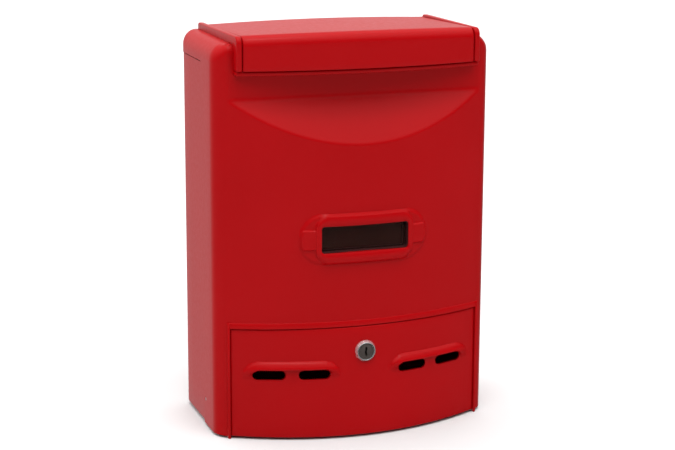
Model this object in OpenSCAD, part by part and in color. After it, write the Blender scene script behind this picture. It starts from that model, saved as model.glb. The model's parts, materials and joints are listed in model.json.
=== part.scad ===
// Wall mailbox: moulded two-part housing, lift-up slot flap, drop-down door with a cam lock.
// +X to the right, -Y to the front, +Z up. Inside the modules y = 0 is the wall plane.

/* [Housing] */
// Width across the side walls of the front cover
body_w = 285; // [270:1:300]
// Height of the shoulders beside the flap
shoulder_z = 390; // [388:1:400]
// Depth from the wall to the side edges of the curved front
edge_d = 129; // [126:1:135]
// How far the curved front panel stands ahead of its side edges
panel_sag = 28; // [24:1:30]
// Wall thickness of the mouldings
wall = 2.5; // [2:0.1:3]
// Radius of the vertical front corners
front_r = 21; // [18:1:24]
// Radius of the vertical rear corners
rear_r = 15; // [8:1:16]
// Radius of the rounded shoulders
shoulder_r = 17; // [10:1:17]
// Depth from the wall to the seam between the two housing mouldings
seam_d = 79; // [70:1:84]
// Height of the lower edge of the front cover's cap
cap_z = 369; // [360:1:372]
// Height of the underside above the resting plane
base_z = 2.5; // [2:0.5:4]

/* [Flap] */
// Width of the flap
flap_w = 235; // [230:1:236]
// Height of the flap's lower edge
flap_bottom_z = 365.5; // [365:0.5:367]
// Height of the flap's top at its side edges
flap_top_z = 394; // [394:0.5:395]
// How much higher the flap's top is at its fold than at its hinge
flap_rise = 4.5; // [0:0.5:5]
// Depth from the wall to the flap's front at its side edges
flap_d = 141; // [139:1:143]
// How far the middle of the flap's front stands ahead of its side edges
flap_sag = 14; // [6:1:15]
// Rise of the flap's top in the middle
flap_crown = 2.5; // [1:0.5:3]
// Radius of the fold between the flap's top and front
flap_fold_r = 10; // [8:1:12]
// Width of the rails beside the flap
rail_w = 5.5; // [5:0.5:7]
// Height of the top of the rails at the wall
rail_top_z = 396.5; // [396:0.5:398]
// How much higher the rails are at their front end
rail_rise = 2; // [0:0.5:3]
// Radius of the corner between the top and the front of the rails
rail_fold_r = 7; // [5:1:9]

/* [Crescent and window] */
// Height of the upper edge of the sloped crescent
crescent_z = 336.5; // [333:0.5:340]
// Height of the crescent from its upper edge down to its lowest point
crescent_h = 43.5; // [40:0.5:48]
// Width of the window opening
window_w = 89; // [84:1:94]
// Height of the window opening
window_h = 26.5; // [24:0.5:30]
// Height of the window's middle
window_z = 201; // [195:1:205]
// Width of the raised window surround
surround_w = 131; // [126:1:134]
// Height of the raised window surround
surround_h = 50; // [46:1:52]

/* [Door] */
// Height of the door's upper edge
door_top_z = 112; // [108:1:114]
// Width of the door
door_w = 257.6; // [250:0.2:258]
// How far the door's lower edge stands ahead of its side edges
door_sag = 36; // [30:1:36]
// Height of the door's hinge axis
hinge_z = 9; // [8.5:0.5:10]
// Height of the middle of the ventilation slots
vent_z = 66; // [60:1:70]
// Length of a ventilation slot
vent_w = 31; // [26:1:32]
// Height of a ventilation slot
vent_h = 9.5; // [8:0.5:10]

/* [Lock] */
// Height of the lock's axis
lock_z = 87; // [84:1:88]
// Radius of the lock's bezel
bezel_r = 10.8; // [10:0.2:11]
// Length of the cam from the lock's axis to its tip
cam_reach = 33; // [31:1:33]

/* [Wall fixing] */
// Distance between the fixing holes from side to side
fixing_x = 200; // [160:5:220]
// Distance between the upper and the lower fixing holes
fixing_z = 260; // [220:5:280]
// Radius of a fixing hole
fixing_r = 3; // [2.5:0.5:3.5]

/* [Hidden] */

RED = [0.66, 0.06, 0.07];
STEEL = [0.72, 0.72, 0.74];
CHROME = [0.85, 0.85, 0.86];
RUBBER = [0.08, 0.08, 0.08];
BRASS = [0.75, 0.62, 0.3];
far = 450;
$fn = 48;

half_w = body_w / 2;
front_y = -edge_d - panel_sag;
overall_d = edge_d + door_sag;

// Clearance between mouldings, and the extra radius of a hole that a rod, pin or screw is pressed into
gap = 0.3;
press = 0.02;
thread_r = 1;
screw_r = 1.25;

// Wall fixings, and the screws that join the two mouldings
fixing_mid_z = 190;
fixing_boss_r = 9;
side_screw_x = half_w - 6;
side_screw_d = seam_d + 5;
side_screw_z = 28;
bottom_screw_x = 70;
bottom_screw_d = seam_d + 6;
foot = [28, 16];
foot_x = 90;
foot_d = 30;

// Rear moulding
shell_inset = 1.5;
tongue_len = 5;
tongue_in = 2 * wall + gap;

// Door frame, rails and the strip under the flap
lip_in = door_w / 2 + 0.6;
lip_w = 2.5;
lip_top_z = door_top_z + 6.5;
frame_d = 14;
stop_z = [20, 104];
rail_in = flap_w / 2 + 0.7;
rail_out = rail_in + rail_w;
strip_top_z = flap_bottom_z - 0.5;
strip_bottom_z = strip_top_z - 4;
strip_inset = 3;
deck_z = 387;

// Slot, flap hinge and flap buffers
slot_half_w = 110;
slot_rear_y = -62;
slot_sill_z = 370;
flap_axis = [-6.5, 391.2];
rod_r = 1.5;
flap_barrel_r = 3.4;
buffer_x = 90;
buffer_r = 5;
buffer_h = 6.4;

// Door hinge, lock catch and vents
hinge_axis = [-124, hinge_z];
pin_r = 2;
catch_y = -139.4;
catch_screw_x = 11;
catch_screw_z = lip_top_z + 4;
vent_x = [51, 94];
brow_z = vent_z + 12;
brow_x = [30, 115];
brow_w = 5;
brow_h = 36;
brow_out = 2.5;

// Window
pane_y = front_y + 7.6;
pane_t = 2;
pane_half = [47, 16.5];
surround_out = 2.5;
seat_half = [56, 25];
retainer_half = [55, 23];
retainer_t = 4.5;
retainer_view = [42, 12];
window_screw = [51, 19];

// Shape of the curved front: a sag over a chord that spans the door
chord = 129;
function sag_r(sag) = (chord * chord + sag * sag) / (2 * sag);
function sag_y(x, sag) = -edge_d - sag * (1 - pow(x / chord, 2));
function arc(c, r, a0, a1, n) = [
    for (i = [0:n]) let (a = a0 + (a1 - a0) * i / n) c + r * [cos(a), sin(a)]
];
function mirrored(points) = [for (i = [len(points) - 1:-1:0]) [-points[i].x, points[i].y]];

// Plan of the housing, pulled in by an inset
function half_plan(inset) =
    let (
        big_r = sag_r(panel_sag),
        big_y = front_y + big_r,
        fillet_x = half_w - front_r,
        fillet_y = big_y - sqrt(pow(big_r - front_r, 2) - pow(fillet_x, 2)),
        turn = atan2(fillet_y - big_y, fillet_x),
        rear = arc([half_w - rear_r, -rear_r], rear_r - inset, 90, 0, 6),
        fillet = arc([fillet_x, fillet_y], front_r - inset, 0, turn, 8),
        front = arc([0, big_y], big_r - inset, turn, -90, 16)
    )
    concat(rear, fillet, [for (i = [1:len(front) - 1]) front[i]]);
function plan(inset) = concat(half_plan(inset), mirrored([for (p = half_plan(inset)) if (p.x > 0.01) p]));

module plan_prism(inset, z0, z1) {
    translate([0, 0, z0]) linear_extrude(z1 - z0) polygon(plan(inset));
}

// Prisms along X from an outline in Y and Z, and along Y from an outline in X and Z
module along_x(x0, x1) {
    translate([x0, 0, 0]) rotate([90, 0, 90]) linear_extrude(x1 - x0) children();
}
module along_y(y0, y1) {
    translate([0, y1, 0]) rotate([90, 0, 0]) linear_extrude(y1 - y0) children();
}
module rod_x(x0, x1, y, z, r) {
    translate([x0, y, z]) rotate([0, 90, 0]) cylinder(h = x1 - x0, r = r);
}
module rod_y(y0, y1, x, z, r) {
    translate([x, y1, z]) rotate([90, 0, 0]) cylinder(h = y1 - y0, r = r);
}
module box(low, high) {
    translate(low) cube(high - low);
}
module stadium(w, h) {
    for (s = [-1, 1]) translate([s * (w - h) / 2, 0]) circle(d = h);
    square([w - h, h], center = true);
}
// Places a part in the shared frame, whose origin is under the middle of the whole object
module placed(c) {
    color(c) translate([0, overall_d / 2, 0]) children();
}
module both_sides() {
    children();
    mirror([1, 0, 0]) children();
}

// Housing volume: plan, shoulders and the side outline with the crescent's slope
slope = panel_sag / crescent_h;
module housing_solid(inset, bottom) {
    shoulders = concat(
        arc([half_w - shoulder_r, shoulder_z - shoulder_r], shoulder_r - inset, 0, 90, 8),
        mirrored(arc([half_w - shoulder_r, shoulder_z - shoulder_r], shoulder_r - inset, 0, 90, 8))
    );
    top_r = 8;
    slope_len = sqrt(1 + slope * slope);
    slope_top = crescent_z - inset * (slope_len - 1) / slope;
    slope_low = crescent_z - 2 * crescent_h;
    profile = concat(
        [[far, bottom], [-far, bottom], [-far, slope_low]],
        [[-edge_d - 2 * panel_sag + inset * slope_len, slope_low], [-edge_d + inset, slope_top]],
        arc([-edge_d + top_r, shoulder_z - top_r], top_r - inset, 180, 90, 5),
        [[far, shoulder_z - inset]]
    );
    intersection() {
        plan_prism(inset, bottom, shoulder_z);
        along_y(-far, far) polygon(concat([[inset - half_w, bottom], [half_w - inset, bottom]], shoulders));
        along_x(-far, far) polygon(profile);
    }
}

// Rear moulding: back, lower sides and base, with a tongue that laps inside the cover
module shell_prism(inset, z0, z1) {
    translate([0, shell_inset, 0]) plan_prism(shell_inset + inset, z0, z1);
}
module tongue() {
    difference() {
        intersection() {
            plan_prism(wall + gap, base_z + wall + gap, cap_z + tongue_len);
            union() {
                box([-far, -seam_d - tongue_len - 4, 0], [far, -seam_d + tongue_len, far]);
                box([-far, -seam_d, cap_z - tongue_len], [far, 1, far]);
            }
        }
        plan_prism(tongue_in, base_z + tongue_in, far);
    }
    box([4 - half_w, -seam_d, base_z + 1], [half_w - 4, -seam_d + tongue_len, base_z + tongue_in]);
}
module at_fixings() {
    for (x = [-1, 1], z = [-1, 1])
        translate([x * fixing_x / 2, 0, fixing_mid_z + z * fixing_z / 2]) children();
}
module rear_shell() {
    placed(RED) difference() {
        union() {
            difference() {
                shell_prism(0, base_z, cap_z - gap);
                shell_prism(wall, base_z + wall, cap_z - tongue_len);
                plan_prism(tongue_in, base_z + wall, far);
                box([-far, -far, -1], [far, -seam_d, far]);
            }
            tongue();
            at_fixings() rod_y(-wall - 3, -1, 0, 0, fixing_boss_r);
            for (x = [-1, 1])
                translate([x * foot_x - foot.x / 2, -foot_d, 0]) cube([foot.x, foot.y, base_z + 1]);
        }
        at_fixings() rod_y(-20, 1, 0, 0, fixing_r);
        for (x = [-1, 1]) {
            translate([x * side_screw_x, -side_screw_d, side_screw_z]) rod_x(-9, 9, 0, 0, screw_r);
            translate([x * bottom_screw_x, -bottom_screw_d, 0]) cylinder(h = 20, r = screw_r);
        }
    }
}

// Front moulding: curved panel, shoulders and cap, rails, door frame and screw bosses
module rail_profile() {
    polygon(concat(
        [[-3, 380], [-edge_d + 2, strip_bottom_z]],
        [[-flap_d + 3, strip_bottom_z], [-flap_d, strip_bottom_z + 3]],
        arc([-flap_d + rail_fold_r, rail_top_z + rail_rise - rail_fold_r], rail_fold_r, 180, 90, 8),
        arc([-2.5, rail_top_z - 2.5], 2.5, 90, 0, 4),
        [[0, 384]]
    ));
}
function flap_plan(inset, rear) = concat(
    [[flap_w / 2 - inset, rear]],
    [for (i = [-12:12]) let (x = -i / 12 * (flap_w / 2 - inset))
        [x, -flap_d + inset - flap_sag * (1 - pow(2 * x / flap_w, 2))]],
    [[-flap_w / 2 + inset, rear]]
);
module rails_and_strip() {
    both_sides() difference() {
        along_x(rail_in, rail_out) rail_profile();
        housing_solid(1, base_z);
    }
    translate([0, 0, strip_bottom_z]) linear_extrude(strip_top_z - strip_bottom_z) {
        polygon(flap_plan(strip_inset, -edge_d + 1));
        translate([-rail_out, strip_inset - flap_d]) square([2 * rail_out, flap_d - strip_inset - edge_d + 1]);
    }
}
// Band that follows the curved front, between two distances in front of it
module front_band(out, depth, half, z0, z1) {
    intersection() {
        difference() {
            plan_prism(-out, z0, z1);
            plan_prism(depth, z0 - 1, z1 + 1);
        }
        box([-half, -far, z0], [half, -edge_d + 14, z1]);
    }
}
module door_frame() {
    front_band(1.5, wall, lip_in + lip_w, door_top_z + 0.6, lip_top_z);
    front_band(0, frame_d, lip_in, door_top_z + 0.6, door_top_z + 3);
    both_sides() {
        box([lip_in, -edge_d - 1.4, 0], [lip_in + lip_w, -edge_d + frame_d, lip_top_z]);
        along_y(-edge_d + frame_d + 2, -edge_d + frame_d + 4.5)
            translate([lip_in - 7, stop_z[0]]) square([lip_w + 7, stop_z[1] - stop_z[0]]);
        along_y(-edge_d + frame_d - 1, -edge_d + frame_d + 4)
            translate([lip_in, stop_z[0]]) square([lip_w, stop_z[1] - stop_z[0]]);
    }
}
module window_seat() {
    along_y(front_y - surround_out, pane_y) translate([0, window_z]) stadium(surround_w, surround_h);
    intersection() {
        window_block(seat_half, front_y - pane_y, 0);
        plan_prism(1, 0, far);
    }
}
module deck() {
    intersection() {
        box([-rail_out, -edge_d, deck_z - wall], [rail_out, 0, shoulder_z - 1]);
        housing_solid(0, base_z);
    }
}
module front_cover() {
    placed(RED) difference() {
        union() {
            difference() {
                housing_solid(0, base_z);
                housing_solid(wall, base_z + wall);
            }
            deck();
            rails_and_strip();
            door_frame();
            window_seat();
            for (x = [-1, 1]) rod_y(front_y + 1, catch_y - 1.6, x * catch_screw_x, catch_screw_z, 4);
        }
        box([-far, -seam_d, -1], [far, 1, cap_z]);
        box([-lip_in, -far, -1], [lip_in, -edge_d + frame_d + 2, door_top_z + 0.6]);
        box([-rail_in, -edge_d - 0.6, deck_z], [rail_in, 1, far]);
        box([-slot_half_w, -edge_d - 0.6, slot_sill_z], [slot_half_w, slot_rear_y, far]);
        along_y(-far, pane_y + 1) translate([0, window_z]) square([window_w, window_h], center = true);
        rod_x(-rail_out + 2, rail_out - 2, flap_axis.x, flap_axis.y, rod_r + press);
        rod_x(-lip_in - lip_w - gap, lip_in + lip_w + gap, hinge_axis.x, hinge_axis.y, pin_r + press);
        at_window_screws() rod_y(-5, 1, 0, 0, thread_r + press);
        for (x = [-1, 1]) {
            rod_y(catch_y - 10, catch_y, x * catch_screw_x, catch_screw_z, thread_r + press);
            translate([x * half_w, -side_screw_d, side_screw_z]) {
                rod_x(-1.5, 1.5, 0, 0, 2);
                rod_x(-9, 9, 0, 0, screw_r);
            }
            translate([x * bottom_screw_x, -bottom_screw_d, 0]) {
                cylinder(h = 20, r = screw_r);
                cylinder(h = base_z + 1.4, r = 2.6);
            }
        }
    }
}

// Flap: crowned top, rounded fold, bulged front, short cheeks and a hinge barrel
flap_big_r = (pow(flap_w / 2, 2) + pow(flap_sag, 2)) / (2 * flap_sag);
flap_rear_y = -3.5;
flap_slope = flap_rise / (flap_d + flap_rear_y);
flap_cut_z = 340;
module flap_solid(inset) {
    crown = [for (i = [-10:10]) let (x = -i / 10 * flap_w / 2)
        [x, flap_top_z - inset + flap_crown * (1 - pow(2 * x / flap_w, 2))]];
    fold = arc(
        [flap_big_r - flap_fold_r, flap_top_z + flap_rise + flap_crown - flap_fold_r],
        flap_fold_r - inset, 0, 90, 8
    );
    low = flap_bottom_z - (inset > 0 ? 1 : 0);
    intersection() {
        box([inset - flap_w / 2, -far, low], [flap_w / 2 - inset, flap_rear_y, far]);
        multmatrix([[1, 0, 0, 0], [0, 1, 0, 0], [0, -flap_slope, 1, flap_slope * flap_rear_y]])
            along_y(-far, far)
                polygon(concat(crown, [[-flap_w / 2, flap_cut_z - 20], [flap_w / 2, flap_cut_z - 20]]));
        translate([0, flap_big_r - flap_d - flap_sag, 0]) rotate([0, 0, -105])
            rotate_extrude(angle = 30, $fn = 360)
                polygon(concat(
                    [[flap_big_r / 2, flap_cut_z], [flap_big_r - inset, flap_cut_z]],
                    fold,
                    [[flap_big_r / 2, fold[8].y]]
                ));
    }
}
module flap() {
    placed(RED) difference() {
        union() {
            difference() {
                flap_solid(0);
                flap_solid(wall);
                box([-far, -edge_d - 1, 0], [far, 1, deck_z + 1]);
                box([-far, flap_axis.x, 0], [far, 1, flap_axis.y]);
            }
            rod_x(-flap_w / 2, flap_w / 2, flap_axis.x, flap_axis.y, flap_barrel_r);
        }
        rod_x(-flap_w / 2 - 1, flap_w / 2 + 1, flap_axis.x, flap_axis.y, rod_r + 0.1);
    }
}
module flap_hinge_rod() {
    placed(STEEL) rod_x(-rail_out + 2.5, rail_out - 2.5, flap_axis.x, flap_axis.y, rod_r);
}
module flap_buffers() {
    placed(RUBBER) for (x = [-1, 1])
        translate([x * buffer_x, -50, deck_z]) cylinder(h = buffer_h, r = buffer_r);
}

// Window: clear pane, retaining frame and its screws
module at_window_screws() {
    for (x = [-1, 1], z = [-1, 1])
        translate([x * window_screw.x, pane_y, window_z + z * window_screw.y]) children();
}
module window_block(half, y0, y1) {
    box([-half.x, pane_y + y0, window_z - half.y], [half.x, pane_y + y1, window_z + half.y]);
}
module window_pane() {
    placed([0.75, 0.8, 0.82, 0.4]) window_block(pane_half, 0.1, 0.1 + pane_t);
}
module window_retainer() {
    placed([0.2, 0.2, 0.2]) difference() {
        window_block(retainer_half, 0.1, 0.1 + retainer_t);
        window_block(pane_half + [gap, gap], -1, pane_t + gap);
        window_block(retainer_view, -1, retainer_t + 2);
        at_window_screws() rod_y(-1, 6, 0, 0, 1.3);
    }
}
module screw(head_r, head_h, shank_r, shank_h) {
    cylinder(h = head_h, r = head_r);
    translate([0, 0, -shank_h]) cylinder(h = shank_h + 0.1, r = shank_r);
}
module window_screws() {
    placed(STEEL) at_window_screws()
        translate([0, 4.7, 0]) rotate([-90, 0, 0]) screw(2.4, 1.6, thread_r, 8);
}

// Door: curved tray that is hinged at its lower corners, with vents under raised brows
function door_plan(inset, sag, rear) = concat(
    [[door_w / 2 - inset, rear]],
    [for (i = [-16:16]) let (x = -i / 16 * (door_w / 2 - inset)) [x, sag_y(x, sag) + inset]],
    [[-door_w / 2 + inset, rear]]
);
function door_sag_at(z) = door_sag + (panel_sag - door_sag) * (z - base_z) / (door_top_z - base_z);
module door_loft(inset, rear) {
    z0 = base_z + inset;
    z1 = door_top_z - inset;
    hull() for (z = [z0, z1 - 0.01])
        translate([0, 0, z]) linear_extrude(0.01) polygon(door_plan(inset, door_sag_at(z), rear));
}
// A raised arch over a pair of vents: the upper part of a stadium's outline, bent round the door's front
module brow(side) {
    steps = 8;
    xs = [for (i = [0:steps]) brow_x[0] + (brow_x[1] - brow_x[0]) * i / steps];
    outer = [for (x = xs) [side * x, sag_y(x, door_sag_at(brow_z)) - brow_out]];
    inner = [for (i = [steps:-1:0]) [side * xs[i], sag_y(xs[i], door_sag_at(brow_z)) + 1.5]];
    intersection() {
        translate([0, 0, vent_z]) linear_extrude(brow_h) polygon(concat(outer, inner));
        along_y(-far, far) difference() {
            brow_outline(side, 0);
            brow_outline(side, brow_w);
        }
    }
}
module brow_outline(side, inset) {
    middle = [side * (brow_x[0] + brow_x[1]) / 2, brow_z + brow_w - brow_h / 2];
    translate(middle) stadium(brow_x[1] - brow_x[0] - 2 * inset, brow_h - 2 * inset);
}
module door() {
    placed(RED) difference() {
        union() {
            difference() {
                door_loft(0, -edge_d + 11);
                door_loft(wall, -edge_d + 30);
                translate([0, 0, door_top_z - wall - 1]) linear_extrude(10)
                    polygon(door_plan(12, panel_sag, -edge_d + 30));
            }
            for (side = [-1, 1]) brow(side);
            both_sides() intersection() {
                box([door_w / 2 - 5, -edge_d + 0.5, base_z], [door_w / 2, -edge_d + 11, hinge_z + 6]);
                door_loft(0, -edge_d + 11);
            }
            rod_y(lock_seat_y + 1, lock_seat_y + 4, 0, lock_z, 14);
        }
        for (side = [-1, 1], x = vent_x)
            along_y(-far, -edge_d + 5) translate([side * x, vent_z]) stadium(vent_w, vent_h);
        rod_y(-far, lock_seat_y, 0, lock_z, bezel_r + 0.2);
        rod_y(-far, 0, 0, lock_z, barrel_r + 0.1);
        rod_x(-far, far, hinge_axis.x, hinge_axis.y, pin_r + 0.08);
    }
}
module door_hinge_pins() {
    placed(STEEL) both_sides() rod_x(door_w / 2 - 7, lip_in + lip_w, hinge_axis.x, hinge_axis.y, pin_r);
}
module door_buffers() {
    placed(RUBBER) both_sides() rod_y(-edge_d + 11.3, -edge_d + 16, lip_in - 3.5, 94, 3);
}

// Cam lock, built along its own axis: +Z of these modules points out of the door
lock_seat_y = -edge_d - door_sag_at(lock_z) + 0.7;
barrel_r = 9.2;
plug_r = 6.4;
barrel_len = 20;
cam_t = 2;
module on_lock_axis(c) {
    placed(c) translate([0, lock_seat_y, lock_z]) rotate([90, 0, 0]) children();
}
module lock_body() {
    on_lock_axis(CHROME) rotate_extrude() polygon([
        [plug_r + 0.08, -barrel_len], [barrel_r, -barrel_len], [barrel_r, 0.1], [bezel_r, 0.1],
        [bezel_r, 2], [9.2, 4.8], [8.3, 5], [8, 4.6], [8, 3.4], [plug_r + 0.08, 3.4]
    ]);
}
module lock_washer() {
    on_lock_axis(STEEL) translate([0, 0, -5.1]) difference() {
        cylinder(h = 1, r = 13);
        translate([0, 0, -1]) cylinder(h = 3, r = barrel_r + 0.1);
    }
}
module lock_nut() {
    on_lock_axis(STEEL) translate([0, 0, -10.2]) difference() {
        cylinder(h = 5, r = 12.6, $fn = 6);
        translate([0, 0, -1]) cylinder(h = 7, r = barrel_r + 0.05);
    }
}
wafer_z = [-14, -11, -8, -5, -2];
module lock_plug() {
    on_lock_axis(STEEL) difference() {
        union() {
            translate([0, 0, -barrel_len - 0.1]) cylinder(h = barrel_len + 3.6, r = plug_r);
            translate([0, 0, 3.5]) cylinder(h = 1.3, r = 7.9);
            translate([-3.5, -3.5, -barrel_len - 3]) cube([7, 7, 4]);
            translate([0, 0, -barrel_len - 8]) cylinder(h = 6, r = 3);
        }
        translate([-1, -4.2, -16]) cube([2, 8, 30]);
        translate([-2, -4.2, -16]) cube([4, 2.4, 30]);
        for (z = wafer_z) translate([-2.6, -5.7, z]) cube([5.2, 11.4, 1]);
    }
}
module lock_wafers() {
    on_lock_axis(BRASS) for (z = wafer_z) translate([0, 0, z + 0.1]) linear_extrude(0.8)
        difference() {
            square([5, 11.2], center = true);
            square([3.4, 7], center = true);
        }
}
module lock_cam() {
    on_lock_axis(STEEL) translate([0, 0, -barrel_len - 0.6 - cam_t]) linear_extrude(cam_t) difference() {
        union() {
            circle(r = 8);
            translate([0, -6.5]) square([cam_reach - 2, 13]);
            translate([0, -4.5]) square([cam_reach, 9]);
        }
        square(7.1, center = true);
    }
}
module lock_cam_washer() {
    on_lock_axis(STEEL) translate([0, 0, -barrel_len - 4]) difference() {
        cylinder(h = 0.9, r = 6.5);
        translate([0, 0, -1]) cylinder(h = 3, r = 3.1);
    }
}
module lock_cam_nut() {
    on_lock_axis(STEEL) translate([0, 0, -barrel_len - 7.2]) difference() {
        cylinder(h = 3.1, r = 5.6, $fn = 6);
        translate([0, 0, -1]) cylinder(h = 5, r = 3.05);
    }
}

// Catch plate that the cam turns behind, and the remaining screws
module catch_plate() {
    placed(STEEL) difference() {
        box([-17, catch_y - 1.5, door_top_z + 0.8], [17, catch_y, lip_top_z + 9]);
        for (x = [-1, 1]) rod_y(catch_y - 3, catch_y + 1, x * catch_screw_x, catch_screw_z, 1.3);
    }
}
module catch_screws() {
    placed(STEEL) for (x = [-1, 1]) translate([x * catch_screw_x, catch_y + 0.1, catch_screw_z])
        rotate([-90, 0, 0]) screw(2.4, 1.5, thread_r, 9);
}
module side_screws() {
    placed(STEEL) both_sides()
        translate([half_w - 1.45, -side_screw_d, side_screw_z]) rotate([0, 90, 0]) screw(1.9, 1.2, 1.2, 7);
}
module bottom_screws() {
    placed(STEEL) for (x = [-1, 1]) translate([x * bottom_screw_x, -bottom_screw_d, base_z + 1.3])
        rotate([180, 0, 0]) screw(2.5, 1.2, 1.2, 7);
}

rear_shell();
front_cover();
flap();
flap_hinge_rod();
flap_buffers();
window_pane();
window_retainer();
window_screws();
door();
door_hinge_pins();
door_buffers();
lock_body();
lock_washer();
lock_nut();
lock_plug();
lock_wafers();
lock_cam();
lock_cam_washer();
lock_cam_nut();
catch_plate();
catch_screws();
side_screws();
bottom_screws();
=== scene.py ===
"""Looks of the wall mailbox: moulded housing, flap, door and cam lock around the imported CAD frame.

Lengths in this script are millimetres, with x to the right, z up and y = 0 at the wall (the front is at
negative y). mesh_from() moves them into the frame's metres.
"""

import json
import math

import bmesh
import bpy
import numpy as np
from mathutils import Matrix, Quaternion, Vector


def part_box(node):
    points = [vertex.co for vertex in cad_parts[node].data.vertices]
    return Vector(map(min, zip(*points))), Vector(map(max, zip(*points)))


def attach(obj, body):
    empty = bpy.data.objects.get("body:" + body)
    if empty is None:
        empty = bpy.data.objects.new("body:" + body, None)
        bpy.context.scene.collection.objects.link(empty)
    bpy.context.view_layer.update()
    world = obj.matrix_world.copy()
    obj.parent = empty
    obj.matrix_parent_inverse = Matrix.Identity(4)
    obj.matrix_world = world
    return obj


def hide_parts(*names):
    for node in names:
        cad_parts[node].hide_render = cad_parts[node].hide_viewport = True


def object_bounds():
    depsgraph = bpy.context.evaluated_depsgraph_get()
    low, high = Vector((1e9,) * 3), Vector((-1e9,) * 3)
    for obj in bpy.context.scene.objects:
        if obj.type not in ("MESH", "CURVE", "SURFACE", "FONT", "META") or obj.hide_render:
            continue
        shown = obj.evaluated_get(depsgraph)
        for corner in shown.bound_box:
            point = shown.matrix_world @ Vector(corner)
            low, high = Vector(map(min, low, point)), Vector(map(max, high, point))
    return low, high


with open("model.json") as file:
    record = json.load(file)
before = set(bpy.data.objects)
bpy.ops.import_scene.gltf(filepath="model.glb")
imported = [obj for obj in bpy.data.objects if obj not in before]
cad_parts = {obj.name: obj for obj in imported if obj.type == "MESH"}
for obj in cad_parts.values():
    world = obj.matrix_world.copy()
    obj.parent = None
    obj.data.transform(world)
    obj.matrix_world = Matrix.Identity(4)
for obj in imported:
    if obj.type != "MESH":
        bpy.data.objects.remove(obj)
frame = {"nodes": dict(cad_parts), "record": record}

MM = 0.001
cad_box = [list(corner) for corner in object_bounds()]


# ---------------------------------------------------------------- sizes from the frame

def box_mm(node):
    """Lowest and highest corner of a CAD node in this script's millimetres."""
    low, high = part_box(node)
    shift = np.array([0, cad_box[1][1] / MM, 0])
    return np.array(low) / MM - shift, np.array(high) / MM - shift


cover_high = box_mm("front_cover")[1]
flap_low, flap_high = box_mm("flap")
door_low, door_high = box_mm("door")
rod_low, rod_high = box_mm("flap_hinge_rod")
pane_low, pane_high = box_mm("window_pane")
bezel_low, bezel_high = box_mm("lock_body")

# Housing
WALL = 2.5  # thickness of every moulding
HALF_W = cover_high[0]
EDGE_Y = -129.0  # depth of the bowed front panel at its sides
PANEL_SAG = 28.0  # how far its middle stands ahead of them
CHORD = 129.0  # half of the width that the bow spans
FRONT_R = 21.0  # upright edges at the front and at the back
REAR_R = 15.0
SHOULDER_R = 17.0  # top edge along the sides, and along the front
FRONT_EDGE_R = 8.0
SHOULDER_Z = 390.0
ROLL_FOOT_Z = 372.0  # the walls end here, and the top edge begins
BASE_Z = door_low[2]
SEAM_Y = -79.0  # the cover lies ahead of the seam and the rear shell behind it
CAP_Z = 369.0  # above this height the cover reaches back to the wall

# Rear shell
SHELL_HALF = HALF_W - 0.5
SHELL_TOP = CAP_Z - 1.0
SHELL_FRONT_Y = SEAM_Y + 1.2
SHELL_FOOT_R = 3.0
TONGUE_HALF = HALF_W - WALL - 0.3  # the laps inside the cover
TONGUE_TOP = 373.0
WALL_HOLE_X = 100.0
WALL_HOLE_Z = (60.0, 320.0)

# Flap, and the rails, strip and deck around it
FLAP_HALF = flap_high[0]
FLAP_SAG = 14.0
FLAP_EDGE_Y = flap_low[1] + FLAP_SAG
FLAP_CROWN = 2.5  # rise of its middle over its sides
FLAP_RISE = 4.5  # rise of its front over its rear
FLAP_REAR_Z = flap_high[2] - FLAP_CROWN - FLAP_RISE
FLAP_FOLD = 10.0  # radius between its top and its front
RAIL_IN = FLAP_HALF + 0.7
RAIL_OUT = RAIL_IN + 5.5
RAIL_Z = cover_high[2]
RAIL_RISE = 2.0
RAIL_FOLD = 7.0
STRIP_INSET = 3.0  # how far the strip stands back from the flap's front
STRIP_Z = flap_low[2] - 0.5
DECK_Z = 387.0
DECK_HALF = 118.0
SLOT_HALF = 110.0
SLOT_SILL_Z = 370.0
SLOT_REAR_Y = -62.0

# Crescent: the top and the height of the slope that cuts the bow back
CRESCENT_Z = 336.5
CRESCENT_H = 43.5

# Window
WINDOW_Z = (pane_low[2] + pane_high[2]) / 2
WINDOW_HALF = np.array([44.6, 13.25])
SURROUND_HALF = np.array([65.6, 25.0])
TUNNEL_HALF = (50, 18)

# Door, its frame and the lock
DOOR_HALF = door_high[0]
DOOR_TOP = door_high[2]
DOOR_SAG = EDGE_Y - door_low[1]  # at its foot
DOOR_TOP_SAG = PANEL_SAG + 1.2
DOOR_REAR_Y = door_high[1]
DOOR_GAP = 0.6
LIP_IN = DOOR_HALF + DOOR_GAP
LIP_OUT = LIP_IN + 2.5
LIP_LOW = DOOR_TOP + DOOR_GAP
LIP_TOP = DOOR_TOP + 6.5
LIP_TILT = 0.9  # how far the lip's top leans back
STOP_LOW = 20
STOP_HIGH = 104
CATCH_SCREW_X = 11.0
VENT_X = (51.0, 94.0)
VENT_Z = 66.0
VENT_HALF = np.array([15.5, 4.8])
BROW_Z = 77.0
BROW_RISE = 4.6
LOCK_Z = (bezel_low[2] + bezel_high[2]) / 2
LOCK_FRONT_Y = bezel_low[1]
LOCK_HOLE_R = 9.4

# Screw heads in the sides and under the base
SIDE_HEAD_R = 2.0
BASE_HEAD_R = 2.6


# ---------------------------------------------------------------- small maths

def smoothstep(low, high, t):
    u = np.clip((np.asarray(t, float) - low) / (high - low), 0, 1)
    return u * u * (3 - 2 * u)


def smooth_max(a, b, k):
    h = np.clip(0.5 + 0.5 * (a - b) / k, 0, 1)
    return b + (a - b) * h + k * h * (1 - h)


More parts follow.
